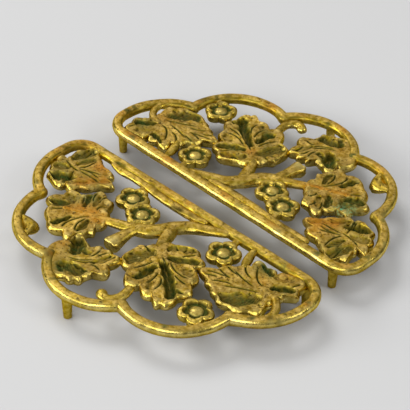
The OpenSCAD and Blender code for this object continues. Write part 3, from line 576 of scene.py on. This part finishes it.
leaf_shapes[5] = dict(
    foot=(0.717, -0.228),
    lobes=[
        (19, 0.106, 0.03), (30, 0.178, 0.12), (60, 0.231, 0.03), (96, 0.183, 0.22),
        (113, 0.179, 0.15), (140, 0.243, 0.17), (164, 0.231, 0.09), (183, 0.285, 0.12),
        (198, 0.371, 0.04), (212, 0.307, 0.03), (224, 0.275, 0.03), (242, 0.256, 0.05),
        (271, 0.219, 0.09), (301, 0.183, 0.03), (325, 0.107, 0.51)],
    spoons=[
        ([(63.1, -43.1), (68.7, -38.4), (74.1, -32.9)], 6.0, 1.9, 0.75),
        ([(75.5, -19.7), (79.0, -16.6), (83.8, -13.3)], 3.0, 2.3, 0.80),
        ([(72.0, -11.2), (77.5, -7.8)], 3.0, 0.9, 0.20),
        ([(59.7, -8.7), (67.3, -11.4)], 2.4, 1.8, 0.90)],
    veins=[
        [(71.5, -21.5), (65.0, -19.6), (58.5, -11.7)],
        [(62.4, -21.0), (57.1, -19.6), (52.7, -15.3)],
        [(68.1, -25.6), (59.1, -24.5), (51.3, -22.7)],
        [(54.7, -29.0), (49.3, -28.7), (45.0, -27.3)],
        [(53.4, -29.2), (46.5, -31.1), (41.1, -33.1)],
        [(58.4, -32.1), (52.8, -33.9), (48.8, -37.3)],
        [(73.9, -26.4), (63.5, -31.4), (55.3, -36.4)],
        [(82.0, -11.3), (83.0, -8.5), (83.7, -6.1)],
        [(55.6, -24.6), (49.7, -23.7), (46.9, -23.1)],
        [(48.8, -32.8), (44.7, -34.6), (42.6, -36.2)]],
    balls=[
        (73.0, -44.5, 2.0), (81.5, -38.5, 2.3), (59.8, -45.3, 2.0), (52.3, -42.4, 1.6),
        (46.7, -40.1, 1.6), (72.3, -7.5, 2.2), (66.8, -7.8, 1.6), (55.9, -8.5, 2.4),
        (84.5, -4.2, 2.2), (87.9, -13.2, 2.0), (82.8, -18.9, 2.0)],
    stains={
        "front": [
            ("verdigris", 61.2, -9.5, 6.0, 1.00), ("verdigris", 67.8, -12.0, 3.0, 0.80),
            ("verdigris", 69.4, -37.7, 9.0, 0.55), ("rust", 72.6, -7.1, 4.0, 0.60),
            ("rust", 67.8, -19.0, 4.0, 0.40), ("verdigris", 78.1, -16.4, 5.0, 0.40)],
        "back": [
            ("verdigris", 80.2, -14.3, 6.0, 0.90), ("rust", 75.9, -28.4, 6.0, 0.35),
            ("verdigris", 48.2, -22.9, 3.0, 0.80)],
    })


def from_line(p, path):
    """Distance of points from a bent line, and the share of the way along it."""
    best, along = np.full(len(p), 1e9), np.zeros(len(p))
    path = np.array(path, float)
    for i in range(len(path) - 1):
        a, d = path[i], path[i + 1] - path[i]
        t = np.clip(((p - a) @ d) / (d @ d), 0, 1)
        off = np.linalg.norm(p - a - t[:, None] * d, axis=1)
        near = off < best
        best[near], along[near] = off[near], (i + t[near]) / (len(path) - 1)
    return best, along


def bent(points, count=12):
    """A smooth line through two or three points."""
    p = [np.array(q, float) for q in points]
    if len(p) == 2:
        return [p[0] + (p[1] - p[0]) * i / count for i in range(count + 1)]
    mid = 2 * p[1] - (p[0] + p[2]) / 2
    return [(1 - t) ** 2 * p[0] + 2 * t * (1 - t) * mid + t * t * p[2]
            for t in np.linspace(0, 1, count + 1)]


def unevenness(p, size, seed):
    return np.array([noise.noise(Vector((x / size, y / size, seed))) for x, y in p])


def leaf(k, half, shape, seed):
    """Rings from the foot of the veins out to the rim, down the wall and back below the leaf."""
    foot = np.array(shape["foot"]) * TIP_R
    lobes = shape["lobes"]
    deg, reach, tip = [], [], []
    for i, (a_deg, a_reach, notch_cut) in enumerate(lobes):
        b_deg, b_reach = lobes[(i + 1) % len(lobes)][:2]
        b_deg += 360 if i == len(lobes) - 1 else 0
        for t in np.arange(LOBE_STEPS) / LOBE_STEPS:
            at_tip = abs(math.cos(math.pi * t))
            ease = (1 - math.cos(math.pi * t)) / 2
            deg.append(a_deg + (b_deg - a_deg) * t)
            reach.append(TIP_R * (a_reach + (b_reach - a_reach) * ease)
                         * (1 - notch_cut * (1 - at_tip ** 0.75)))
            tip.append(at_tip ** 1.6)
    deg, reach, tip = (np.array(v) for v in (deg, reach, tip))
    for _ in range(3):
        reach = (np.roll(reach, 1) + 2 * reach + np.roll(reach, -1)) / 4
    way = np.stack([np.cos(np.radians(deg)), np.sin(np.radians(deg))], axis=1)
    m = len(deg)
    shares = np.r_[np.linspace(0.03, 0.80, 40), np.linspace(0.82, 1.0, 17)]
    s = np.repeat(shares, m)
    out = np.tile(reach, len(shares))
    edge = (1 - s) * out
    p = foot + np.tile(way, (len(shares), 1)) * (s * out)[:, None]
    inner = np.clip((edge - 0.9) / 1.6, 0, 1)
    inner = inner * inner * (3 - 2 * inner)
    ribs = np.sin(46 * np.radians(np.tile(deg, len(shares))))

    # Spoon hollows, ribbed where they are dark, then the veins with a raised lip beside each; both
    #     # are darkened with dirt and painted shade
    warp = unevenness(p, 2.8, seed + 2)
    z = -LEAF_DROP - 0.35 * s ** 2
    dirt_and_shade = np.zeros(len(p))
    for path, width, deep, dark in shape["spoons"]:
        off, along = from_line(p, bent(path))
        off = off * (1 + 0.55 * warp)
        wide = width * (0.55 + 0.20 * np.sin(math.pi * along) + 0.42 * s)
        bowl = np.clip(1 - (off / wide) ** 2, 0, 1) ** 1.2
        z -= (deep * 1.25 * bowl + 0.11 * ribs * bowl ** 0.5 * (dark > 0.45)) * inner
        filled = np.clip(bowl * min(2.2, 7 / width) + 0.6 * warp * bowl, 0, 1)
        dirt_and_shade = np.maximum(dirt_and_shade, min(1, dark * 1.25) * filled * (0.25 + 0.75 * inner))
    for path in shape["veins"]:
        off, along = from_line(p, bent(path))
        fade = np.clip(np.minimum(along, 1 - along) / 0.16, 0.15, 1)
        z -= VEIN_DEEP * (np.exp(-(off / VEIN_HALF) ** 2) * fade)
        z += 0.10 * np.exp(-((off - 1.3) / 0.7) ** 2) * fade * inner
        dirt_and_shade = np.maximum(dirt_and_shade, np.clip(1.25 * np.exp(-(off / 0.55) ** 2) * fade, 0, 1))

    # The rim: a low ridge inside it, ball-like tips, an uneven skin, and the edge rolled over
    z += 0.30 * np.exp(-((edge - 1.9) / 1.3) ** 2)
    # The rim's edge and the ball tips are painted brighter, as polish and painted highlight
    polish_and_highlight = 0.22 * np.exp(-((edge - 0.4) / 0.5) ** 2)
    ball = np.zeros(len(p))
    for x, y, r in shape["balls"]:
        off = np.linalg.norm(p - (x, y), axis=1) / (1.25 * r)
        dome = np.clip(1 - off ** 2, 0, 1) ** 0.8
        z += (-LEAF_DROP + BALL_RISE - 0.9 * off ** 2 - z) * dome
        dirt_and_shade = dirt_and_shade * (1 - 0.8 * dome)
        polish_and_highlight = np.maximum(polish_and_highlight, 0.22 * dome)
        ball = np.maximum(ball, dome)
    uneven = 0.22 * unevenness(p, 3.2, seed) + 0.06 * unevenness(p, 1.1, seed + 5)
    z += uneven * (0.3 + 0.7 * inner)
    rim = -LEAF_DROP - LEAF_ROLL
    roll = np.clip(1 - edge / (1.3 + 0.9 * ball), 0, 1)
    z = z * (1 - roll ** 2) + rim * roll ** 2
    z = np.minimum(z, CHASED_TOP)
    points = [tuple(v) for v in np.c_[p, z]]
    dirt_and_shade, polish_and_highlight = list(dirt_and_shade * (1 - roll)), list(polish_and_highlight)

    # Down the wall the colour is painted darker as shade, most at the foot and in the notches, and
    # painted bright towards the tips as a highlight
    for drop, grow, bulge, dark in WALL_RINGS:
        wall = foot + way * (reach + grow + bulge * (tip - 0.4))[:, None]
        points += [(x, y, rim - drop) for x, y in wall]
        dirt_and_shade += list(dark + 0.55 * np.clip(0.35 - tip, 0, 1))
        polish_and_highlight += list(np.full(m, 0.60 * (1 - dark)) * (0.30 + 0.70 * tip))
    z_under = rim - LEAF_WALL + LEAF_UNDER
    # The underside is painted dark as shade
    for inset, z_ring in ((0.9, rim - LEAF_WALL), (0.74, z_under), (0.3, z_under)):
        points += [(x, y, z_ring) for x, y in foot + way * (reach * inset)[:, None]]
        dirt_and_shade += [0.6] * m
        polish_and_highlight += [0.0] * m
    rings = len(points) // m
    faces = skin_of(rings, m)
    points += [(*foot, -LEAF_DROP), (*foot, z_under)]
    dirt_and_shade += [0.1, 0.6]
    polish_and_highlight += [0.0, 0.0]
    faces += [(rings * m, i, (i + 1) % m) for i in range(m)]
    faces += [(rings * m + 1, (rings - 1) * m + (i + 1) % m, (rings - 1) * m + i) for i in range(m)]

    marks = {"dirt_and_shade": dirt_and_shade, "polish_and_highlight": polish_and_highlight, "verdigris": 0.38 * np.array(dirt_and_shade)}
    stain(marks, points, shape["stains"][half])
    piece("%s_leaf_%d_vine" % (half, k), points, faces, half, tarnished,
          ["leaf_%d" % k], marks)


for half in ("front", "back"):
    for k, shape in leaf_shapes.items():
        leaf(k, half, shape, k * 1.7 + (0.6 if half == "back" else 0))

# Blossoms

# Five cupped petals with thick rolled rims round a domed boss, cast with a short stalk to the
# # rail or branch that carries each one, rubbed bright and with painted highlights on the boss,
# # rims and walls. Dirt, painted shade and verdigris sit in the cups.
FLOWER_R, FLOWER_DROP, FLOWER_T, PETAL_CUP, BOSS_R, BOSS_H = 10.0, 0.8, 5.6, 1.9, 2.7, 1.8
PETALS, PETAL_OUT, PETAL_R = 5, 0.54, 0.46
TWIG_R, BRANCH_DROP = 2.7, 0.4
FLOWER_STEPS = 160
rubbed = brass("brass_rubbed", 0.60, 0.95, 0.20)
stalk_ends = [np.array(place) * TIP_R for place in [
    (0.666, -0.657), (0.34, -0.027), (-0.353, -0.036), (-0.107, -0.313)]]
flower_at = {1: stalk_ends[0] + polar(FLOWER_R + 1.5, 140),
             2: stalk_ends[1] + polar(FLOWER_R + 3, 278),
             4: stalk_ends[3] + polar(FLOWER_R + 0.4, 133)}
flower_3_y = 1 - RAIL_R - 2 * TWIG_R - FLOWER_R
flower_at[3] = np.array([flower_at[4][0] - math.sqrt(
    (2 * FLOWER_R - 4.3) ** 2 - (flower_3_y - flower_at[4][1]) ** 2), flower_3_y])
flower_turns = {1: 18, 2: 30, 3: 20, 4: 55}
# Rings of the wall below the petals: drop, share of the flower's radius
PETAL_WALL = [(1.3, 1.015), (2.2, 1.025), (3.2, 1.015), (4.2, 0.98), (5.0, 0.94),
              (FLOWER_T - 0.05, 0.86)]


def petal_edge(t):
    """Share of the flower's radius that its outline of five circles reaches, t round a petal."""
    a = math.radians(360 / PETALS * min(t, 1 - t))
    return PETAL_OUT * math.cos(a) + math.sqrt(PETAL_R ** 2 - (PETAL_OUT * math.sin(a)) ** 2)


def blossom(k, half):
    """Rings from the boss out over the petals' rims and down their wall, and a stalk."""
    at, turn, m = flower_at[k], flower_turns[k], FLOWER_STEPS
    seed = k + {"front": 0.0, "back": 2.0}[half]
    boss = BOSS_R * 1.45
    boss_top = -PETAL_CUP + BOSS_H * 0.98
    points, dirt_and_shade, polish_and_highlight = [], [], []
    for s in np.r_[np.linspace(0.03, 0.34, 9), np.linspace(0.37, 0.70, 10), np.linspace(0.73, 1.0, 13)]:
        for i in range(m):
            t = (i * PETALS / m) % 1
            mid_petal = abs(math.cos(math.pi * t))
            petalled = share((s - 0.38) / 0.3)
            r = FLOWER_R * s * (1 - (1 - petal_edge(t)) * petalled)
            if r < boss:
                z = -PETAL_CUP + BOSS_H * 0.98 * math.sqrt(max(0, 1 - (r / boss) ** 2.4))
                # The foot of the boss is painted darker as shade and the boss painted bright as a
                # highlight
                dark, bright = 0.9 * max(0, r / boss - 0.80) / 0.20, 0.28
            else:
                lip = (1 - s) * FLOWER_R
                cup = share((lip - 2.5) / 1.5)
                between = share((0.34 - mid_petal) / 0.34) * share((s - 0.42) / 0.2)
                z = -PETAL_CUP * (0.75 + 0.35 * mid_petal) * cup * cup * (3 - 2 * cup)
                z *= 1 - 0.75 * between
                if lip < 1.8:
                    z -= 0.85 * (1 - lip / 1.8) ** 2
                # The cups are painted darker the deeper they run, and along the cuts between petals, as
                # dirt and painted shade; the rims' tops are painted bright as highlights
                dark = max((0.2 + 0.75 * cup) * cup, 0.6 * max(0, 1 - mid_petal / 0.12) * petalled)
                bright = 0.10 * (1 - cup)
            x, y = at + polar(r, turn + 360 * i / m)
            z += 0.16 * noise.noise(Vector((x / 2.5, y / 2.5, seed)))
            points.append((x, y, min(z - FLOWER_DROP, CHASED_TOP)))
            dirt_and_shade.append(dark)
            polish_and_highlight.append(bright)
    # Down the wall the colour is painted darker as shade, most between the petals, and painted bright
    # mid-petal as a highlight
    for drop, wide in PETAL_WALL:
        for i in range(m):
            t = (i * PETALS / m) % 1
            mid_petal = abs(math.cos(math.pi * t))
            x, y = at + polar(FLOWER_R * wide * petal_edge(t), turn + 360 * i / m)
            points.append((x, y, -FLOWER_DROP - drop))
            dirt_and_shade.append(0.04 * drop + 0.7 * max(0, 0.25 - mid_petal))
            polish_and_highlight.append(0.40 * mid_petal)
    rings = len(points) // m
    faces = skin_of(rings, m)
    points += [(*at, boss_top - FLOWER_DROP), (*at, -FLOWER_DROP - FLOWER_T)]
    faces += [(rings * m, i, (i + 1) % m) for i in range(m)]
    faces += [(rings * m + 1, (rings - 1) * m + (i + 1) % m, (rings - 1) * m + i) for i in range(m)]
    dirt_and_shade += [0, 0.5]
    polish_and_highlight += [0.2, 0]
    piece("%s_flower_%d_petals" % (half, k), points, faces, half, rubbed,
          ["flower_%d" % k], {"dirt_and_shade": dirt_and_shade, "polish_and_highlight": polish_and_highlight, "verdigris": 0.75 * np.array(dirt_and_shade)})
    line = [at + (stalk_ends[k - 1] - at) * along for along in np.linspace(0.62, 1, 9)]
    points, faces = tube(line, np.full(9, TWIG_R * 0.8), np.full(9, -BRANCH_DROP - 0.9), 24, 0.8,
                         seed=k)
    piece("%s_flower_%d_stalk" % (half, k), points, faces, half, plain, [])


for half in ("front", "back"):
    for k in range(1, 5):
        blossom(k, half)

# Branches

# The forked branch with its arm and sawn stub, the twig along the bar, the tendril, the leaf
# stem and two buds: cast rods of changing thickness with shallow bark furrows, one with the rail.
BRANCH_R, TENDRIL_R, STEM_R, BUD_R, TENDRIL_DROP = 4.6, 2.1, 2.1, 3.8, 1.6


def along(chain, steps=9):
    """A smooth line through a chain of places, with the radius at each."""
    c = np.array(chain, float)
    n = len(c) - 1
    out = []
    for k in range(n):
        a, b, d, e = c[max(k - 1, 0)], c[k], c[k + 1], c[min(k + 2, n)]
        for t in np.arange(steps) / steps:
            curve = 2 * a - 5 * b + 4 * d - e + t * (3 * b - a - 3 * d + e)
            out.append(b + t / 2 * (d - a + t * curve))
    out.append(c[n])
    return np.array(out)[:, :2], np.array(out)[:, 2]


def placed(shares):
    return [(x * TIP_R, y * TIP_R, r) for x, y, r in shares]


def beside_bar(shares):
    return [(x * TIP_R, -off * (RAIL_R + TWIG_R), r) for x, off, r in shares]


def inside_lobe(k, shares):
    return [(*(centres[k] + polar(LOBE_R - off * (RAIL_R + BUD_R), deg)), r) for deg, off, r in shares]


# Each rod: its places with shares of the full radius, the full radius, how far its top lies
# below the rail's, its finish, and the node that it replaces
rods = {
    "branch": (placed([
        (0.259, -0.027, 0.55), (0.165, -0.071, 0.75), (0.076, -0.116, 0.9), (0.018, -0.179, 0.95),
        (-0.018, -0.246, 1), (-0.071, -0.308, 0.98), (-0.143, -0.353, 0.82), (-0.232, -0.393, 0.66),
        (-0.322, -0.433, 0.55), (-0.42, -0.469, 0.42), (-0.509, -0.509, 0.25)]),
        BRANCH_R, BRANCH_DROP, plain, "brass", ["branch"]),
    "arm": (placed([
        (0.009, -0.188, 0.7), (0.04, -0.255, 0.72), (0.07, -0.326, 0.62), (0.105, -0.389, 0.5),
        (0.147, -0.438, 0.34)]),
        BRANCH_R, BRANCH_DROP + 0.3, plain, "brass", []),
    "stub": (placed([
        (-0.107, -0.335, 0.62), (-0.118, -0.402, 0.62), (-0.122, -0.465, 0.72),
        (-0.123, -0.508, 0.8), (-0.123, -0.529, 0.66)]),
        BRANCH_R, BRANCH_DROP, plain, "brass", []),
    "twig": (beside_bar([
        (0.116, 0.76, 0.62), (0.054, 0.92, 0.95), (-0.071, 0.97, 1), (-0.206, 0.93, 1),
        (-0.331, 0.78, 0.95), (-0.447, 0.7, 0.9), (-0.545, 0.78, 0.92), (-0.617, 0.7, 0.6)]),
        TWIG_R, BRANCH_DROP, plain, "brass", ["twig"]),
    "tendril": (placed([
        (0.201, -0.67, 1), (0.219, -0.728, 0.95), (0.223, -0.782, 0.95), (0.198, -0.826, 0.95),
        (0.161, -0.835, 0.9), (0.134, -0.824, 0.95)]),
        TENDRIL_R, TENDRIL_DROP, rubbed, "polished_brass", ["tendril"]),
    "stem": (placed([
        (0.724, -0.228, 0.9), (0.795, -0.234, 1), (0.851, -0.284, 1), (0.868, -0.348, 1),
        (0.844, -0.411, 1), (0.804, -0.447, 0.8)]),
        STEM_R, BRANCH_DROP + 0.2, plain, "brass", ["stem"]),
    "rail_bud": (inside_lobe(2, [
        (223, 0.40, 0.5), (230, 0.78, 1.05), (237, 0.98, 1.32), (243, 0.85, 1.0),
        (250, 0.40, 0.5)]),
        BUD_R, BRANCH_DROP + 0.4, rubbed, "polished_brass", ["rail_bud"]),
    "bar_bud": (placed([
        (0.465, -0.027, 0.5), (0.478, -0.076, 0.66), (0.496, -0.121, 0.72), (0.514, -0.161, 0.45)]),
        BUD_R, BRANCH_DROP, rubbed, "polished_brass", ["bar_bud"]),
}
# How much fuller a rod is at its start and its end than its node
fuller = {"tendril": (1.3, 1.6), "stub": (1.0, 1.55), "arm": (1.25, 1.05), "stem": (1.1, 1.1)}
ARM_SINK = 2.4
for half in ("front", "back"):
    for i, (name, (chain, full, drop, material, record_slot, nodes)) in enumerate(rods.items()):
        line, radius_shares = along(chain)
        start, end = fuller.get(name, (1, 1))
        radii = radius_shares * np.linspace(start, end, len(line)) * full
        tops = np.full(len(line), -drop)
        if name == "arm":
            tops -= ARM_SINK * np.clip((np.linspace(0, 1, len(line)) - 0.62) / 0.38, 0, 1) ** 1.5
        points, faces = tube(line, radii, tops, 32, 0.8, seed=i * 3.1, rough=0.12, bark=0.14,
                             sawn=name == "stub")
        from_tip = [math.dist(place[:2], line[-1]) for place in points]
        # The polish along each rod's lower side is a painted highlight, and the stub is also painted
        # bright at its sawn end
        marks = {
            "polish_and_highlight": [0.45 * share((-drop - full * 0.3 - z) / (full * 0.5)) for x, y, z in points],
            "dirt_and_shade": [max(0, 1.5 * (noise.noise(Vector((x / 5, y / 5, z / 2 + i))) - 0.22))
                     for x, y, z in points]}
        if name == "stub":
            marks["polish_and_highlight"] = [max(v, 0.40 * math.exp(-(far / 5.5) ** 4))
                               for v, far in zip(marks["polish_and_highlight"], from_tip)]
        # The green at the arm's end, where it sinks under the leaf, is painted shade
        if name == "arm":
            marks["verdigris"] = [0.9 * math.exp(-far ** 2 / 20) for far in from_tip]
        if name == "branch":
            marks["rust"] = [0.75 * share((-20 - x) / 15) for x, y, z in points]
        piece("%s_%s" % (half, name), points, faces, half, material, nodes, marks)

# Pegs

# Three short tapered pegs carry each half, two by the bar and one under the middle lobe, cast
# with the rail. They keep the solids' own shape and take the rail's finish.
for name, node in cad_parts.items():
    if "foot" in name:
        node.data.materials.clear()
        node.data.materials.append(plain)
        node.data.shade_smooth()

# Floor, light and camera

# A pale seamless table in a studio: a large soft lamp behind on the left, low ones in front
# and on the left, a weak one on the right, and a long lens in front, to the right and above.
FLOOR_GREY, STUDIO_GREY = (0.56, 0.56, 0.56, 1), (0.92, 0.92, 0.92, 1)
bpy.ops.mesh.primitive_plane_add(size=6, location=(0, 0, 0))
floor = bpy.context.object
floor.name = "floor"
paper = bpy.data.materials.new("floor")
paper.use_nodes = True
surface = paper.node_tree.nodes["Principled BSDF"].inputs
surface["Base Color"].default_value = FLOOR_GREY
surface["Roughness"].default_value = 0.85
surface["Specular IOR Level"].default_value = 0.2
floor.data.materials.append(paper)

world = bpy.data.worlds.new("studio")
bpy.context.scene.world = world
world.use_nodes = True
sky = world.node_tree
sky_way = sky.nodes.new("ShaderNodeSeparateXYZ")
sky.links.new(sky.nodes.new("ShaderNodeTexCoord").outputs["Generated"], sky_way.inputs[0])
sky_ramp = sky.nodes.new("ShaderNodeMapRange")
sky.links.new(sky_way.outputs["Z"], sky_ramp.inputs["Value"])
for socket, v in (("From Min", 0.12), ("From Max", 0.80), ("To Min", 0.10), ("To Max", 0.66)):
    sky_ramp.inputs[socket].default_value = v
sky.links.new(sky_ramp.outputs["Result"], sky.nodes["Background"].inputs["Strength"])
sky.nodes["Background"].inputs["Color"].default_value = STUDIO_GREY


def lamp(name, at, size, power):
    """A soft rectangular lamp, in metres and watts, aimed at the middle of the table."""
    light = bpy.data.lights.new(name, "AREA")
    light.shape, light.size, light.size_y = "RECTANGLE", size[0], size[1]
    light.energy = power
    obj = bpy.data.objects.new(name, light)
    obj.location = at
    obj.rotation_euler = (-Vector(at)).to_track_quat("-Z", "Y").to_euler()
    bpy.context.scene.collection.objects.link(obj)


lamp("key", (-2.1, 0.5, 2.5), (1.6, 1.3), 46)
lamp("low_left", (-1.7, -1.9, 1.0), (1.7, 1.0), 34)
lamp("front", (0.7, -2.5, 1.6), (2.3, 1.1), 40)
lamp("right", (2.2, 0.8, 1.6), (1.0, 1.0), 14)

# The camera's bearings come in degrees and its distance from its aim in metres. It aims at a
# place on the rail's worn top, in the front half's millimetres.
CAMERA_EL, CAMERA_AZ, CAMERA_ROLL = (math.radians(v) for v in (37.947, 43.396, 1.565))
DISTANCE, AIM = 0.809893, (2.111, 5.121)
SENSOR, PHOTO_PIXELS, FOCAL_PIXELS = 36, 410, 1445.913
camera_data = bpy.data.cameras.new("camera")
camera = bpy.data.objects.new("camera", camera_data)
bpy.context.scene.collection.objects.link(camera)
bpy.context.scene.camera = camera
camera_data.sensor_width, camera_data.lens = SENSOR, FOCAL_PIXELS / PHOTO_PIXELS * SENSOR
camera_data.clip_start, camera_data.clip_end = 0.05, 20
back = Vector((math.sin(CAMERA_AZ) * math.cos(CAMERA_EL), -math.cos(CAMERA_AZ) * math.cos(CAMERA_EL),
               math.sin(CAMERA_EL)))
right = Vector((math.cos(CAMERA_AZ), math.sin(CAMERA_AZ), 0))
above = back.cross(right)
right, above = (math.cos(CAMERA_ROLL) * right + math.sin(CAMERA_ROLL) * above,
                -math.sin(CAMERA_ROLL) * right + math.cos(CAMERA_ROLL) * above)
target = Vector((AIM[0] - MIDDLE[0], AIM[1] - MIDDLE[1], HEIGHT)) * MM
camera.matrix_world = (Matrix.Translation(target + back * DISTANCE)
                       @ Matrix((right, above, back)).transposed().to_4x4())

bpy.context.scene.view_settings.view_transform = "Standard"
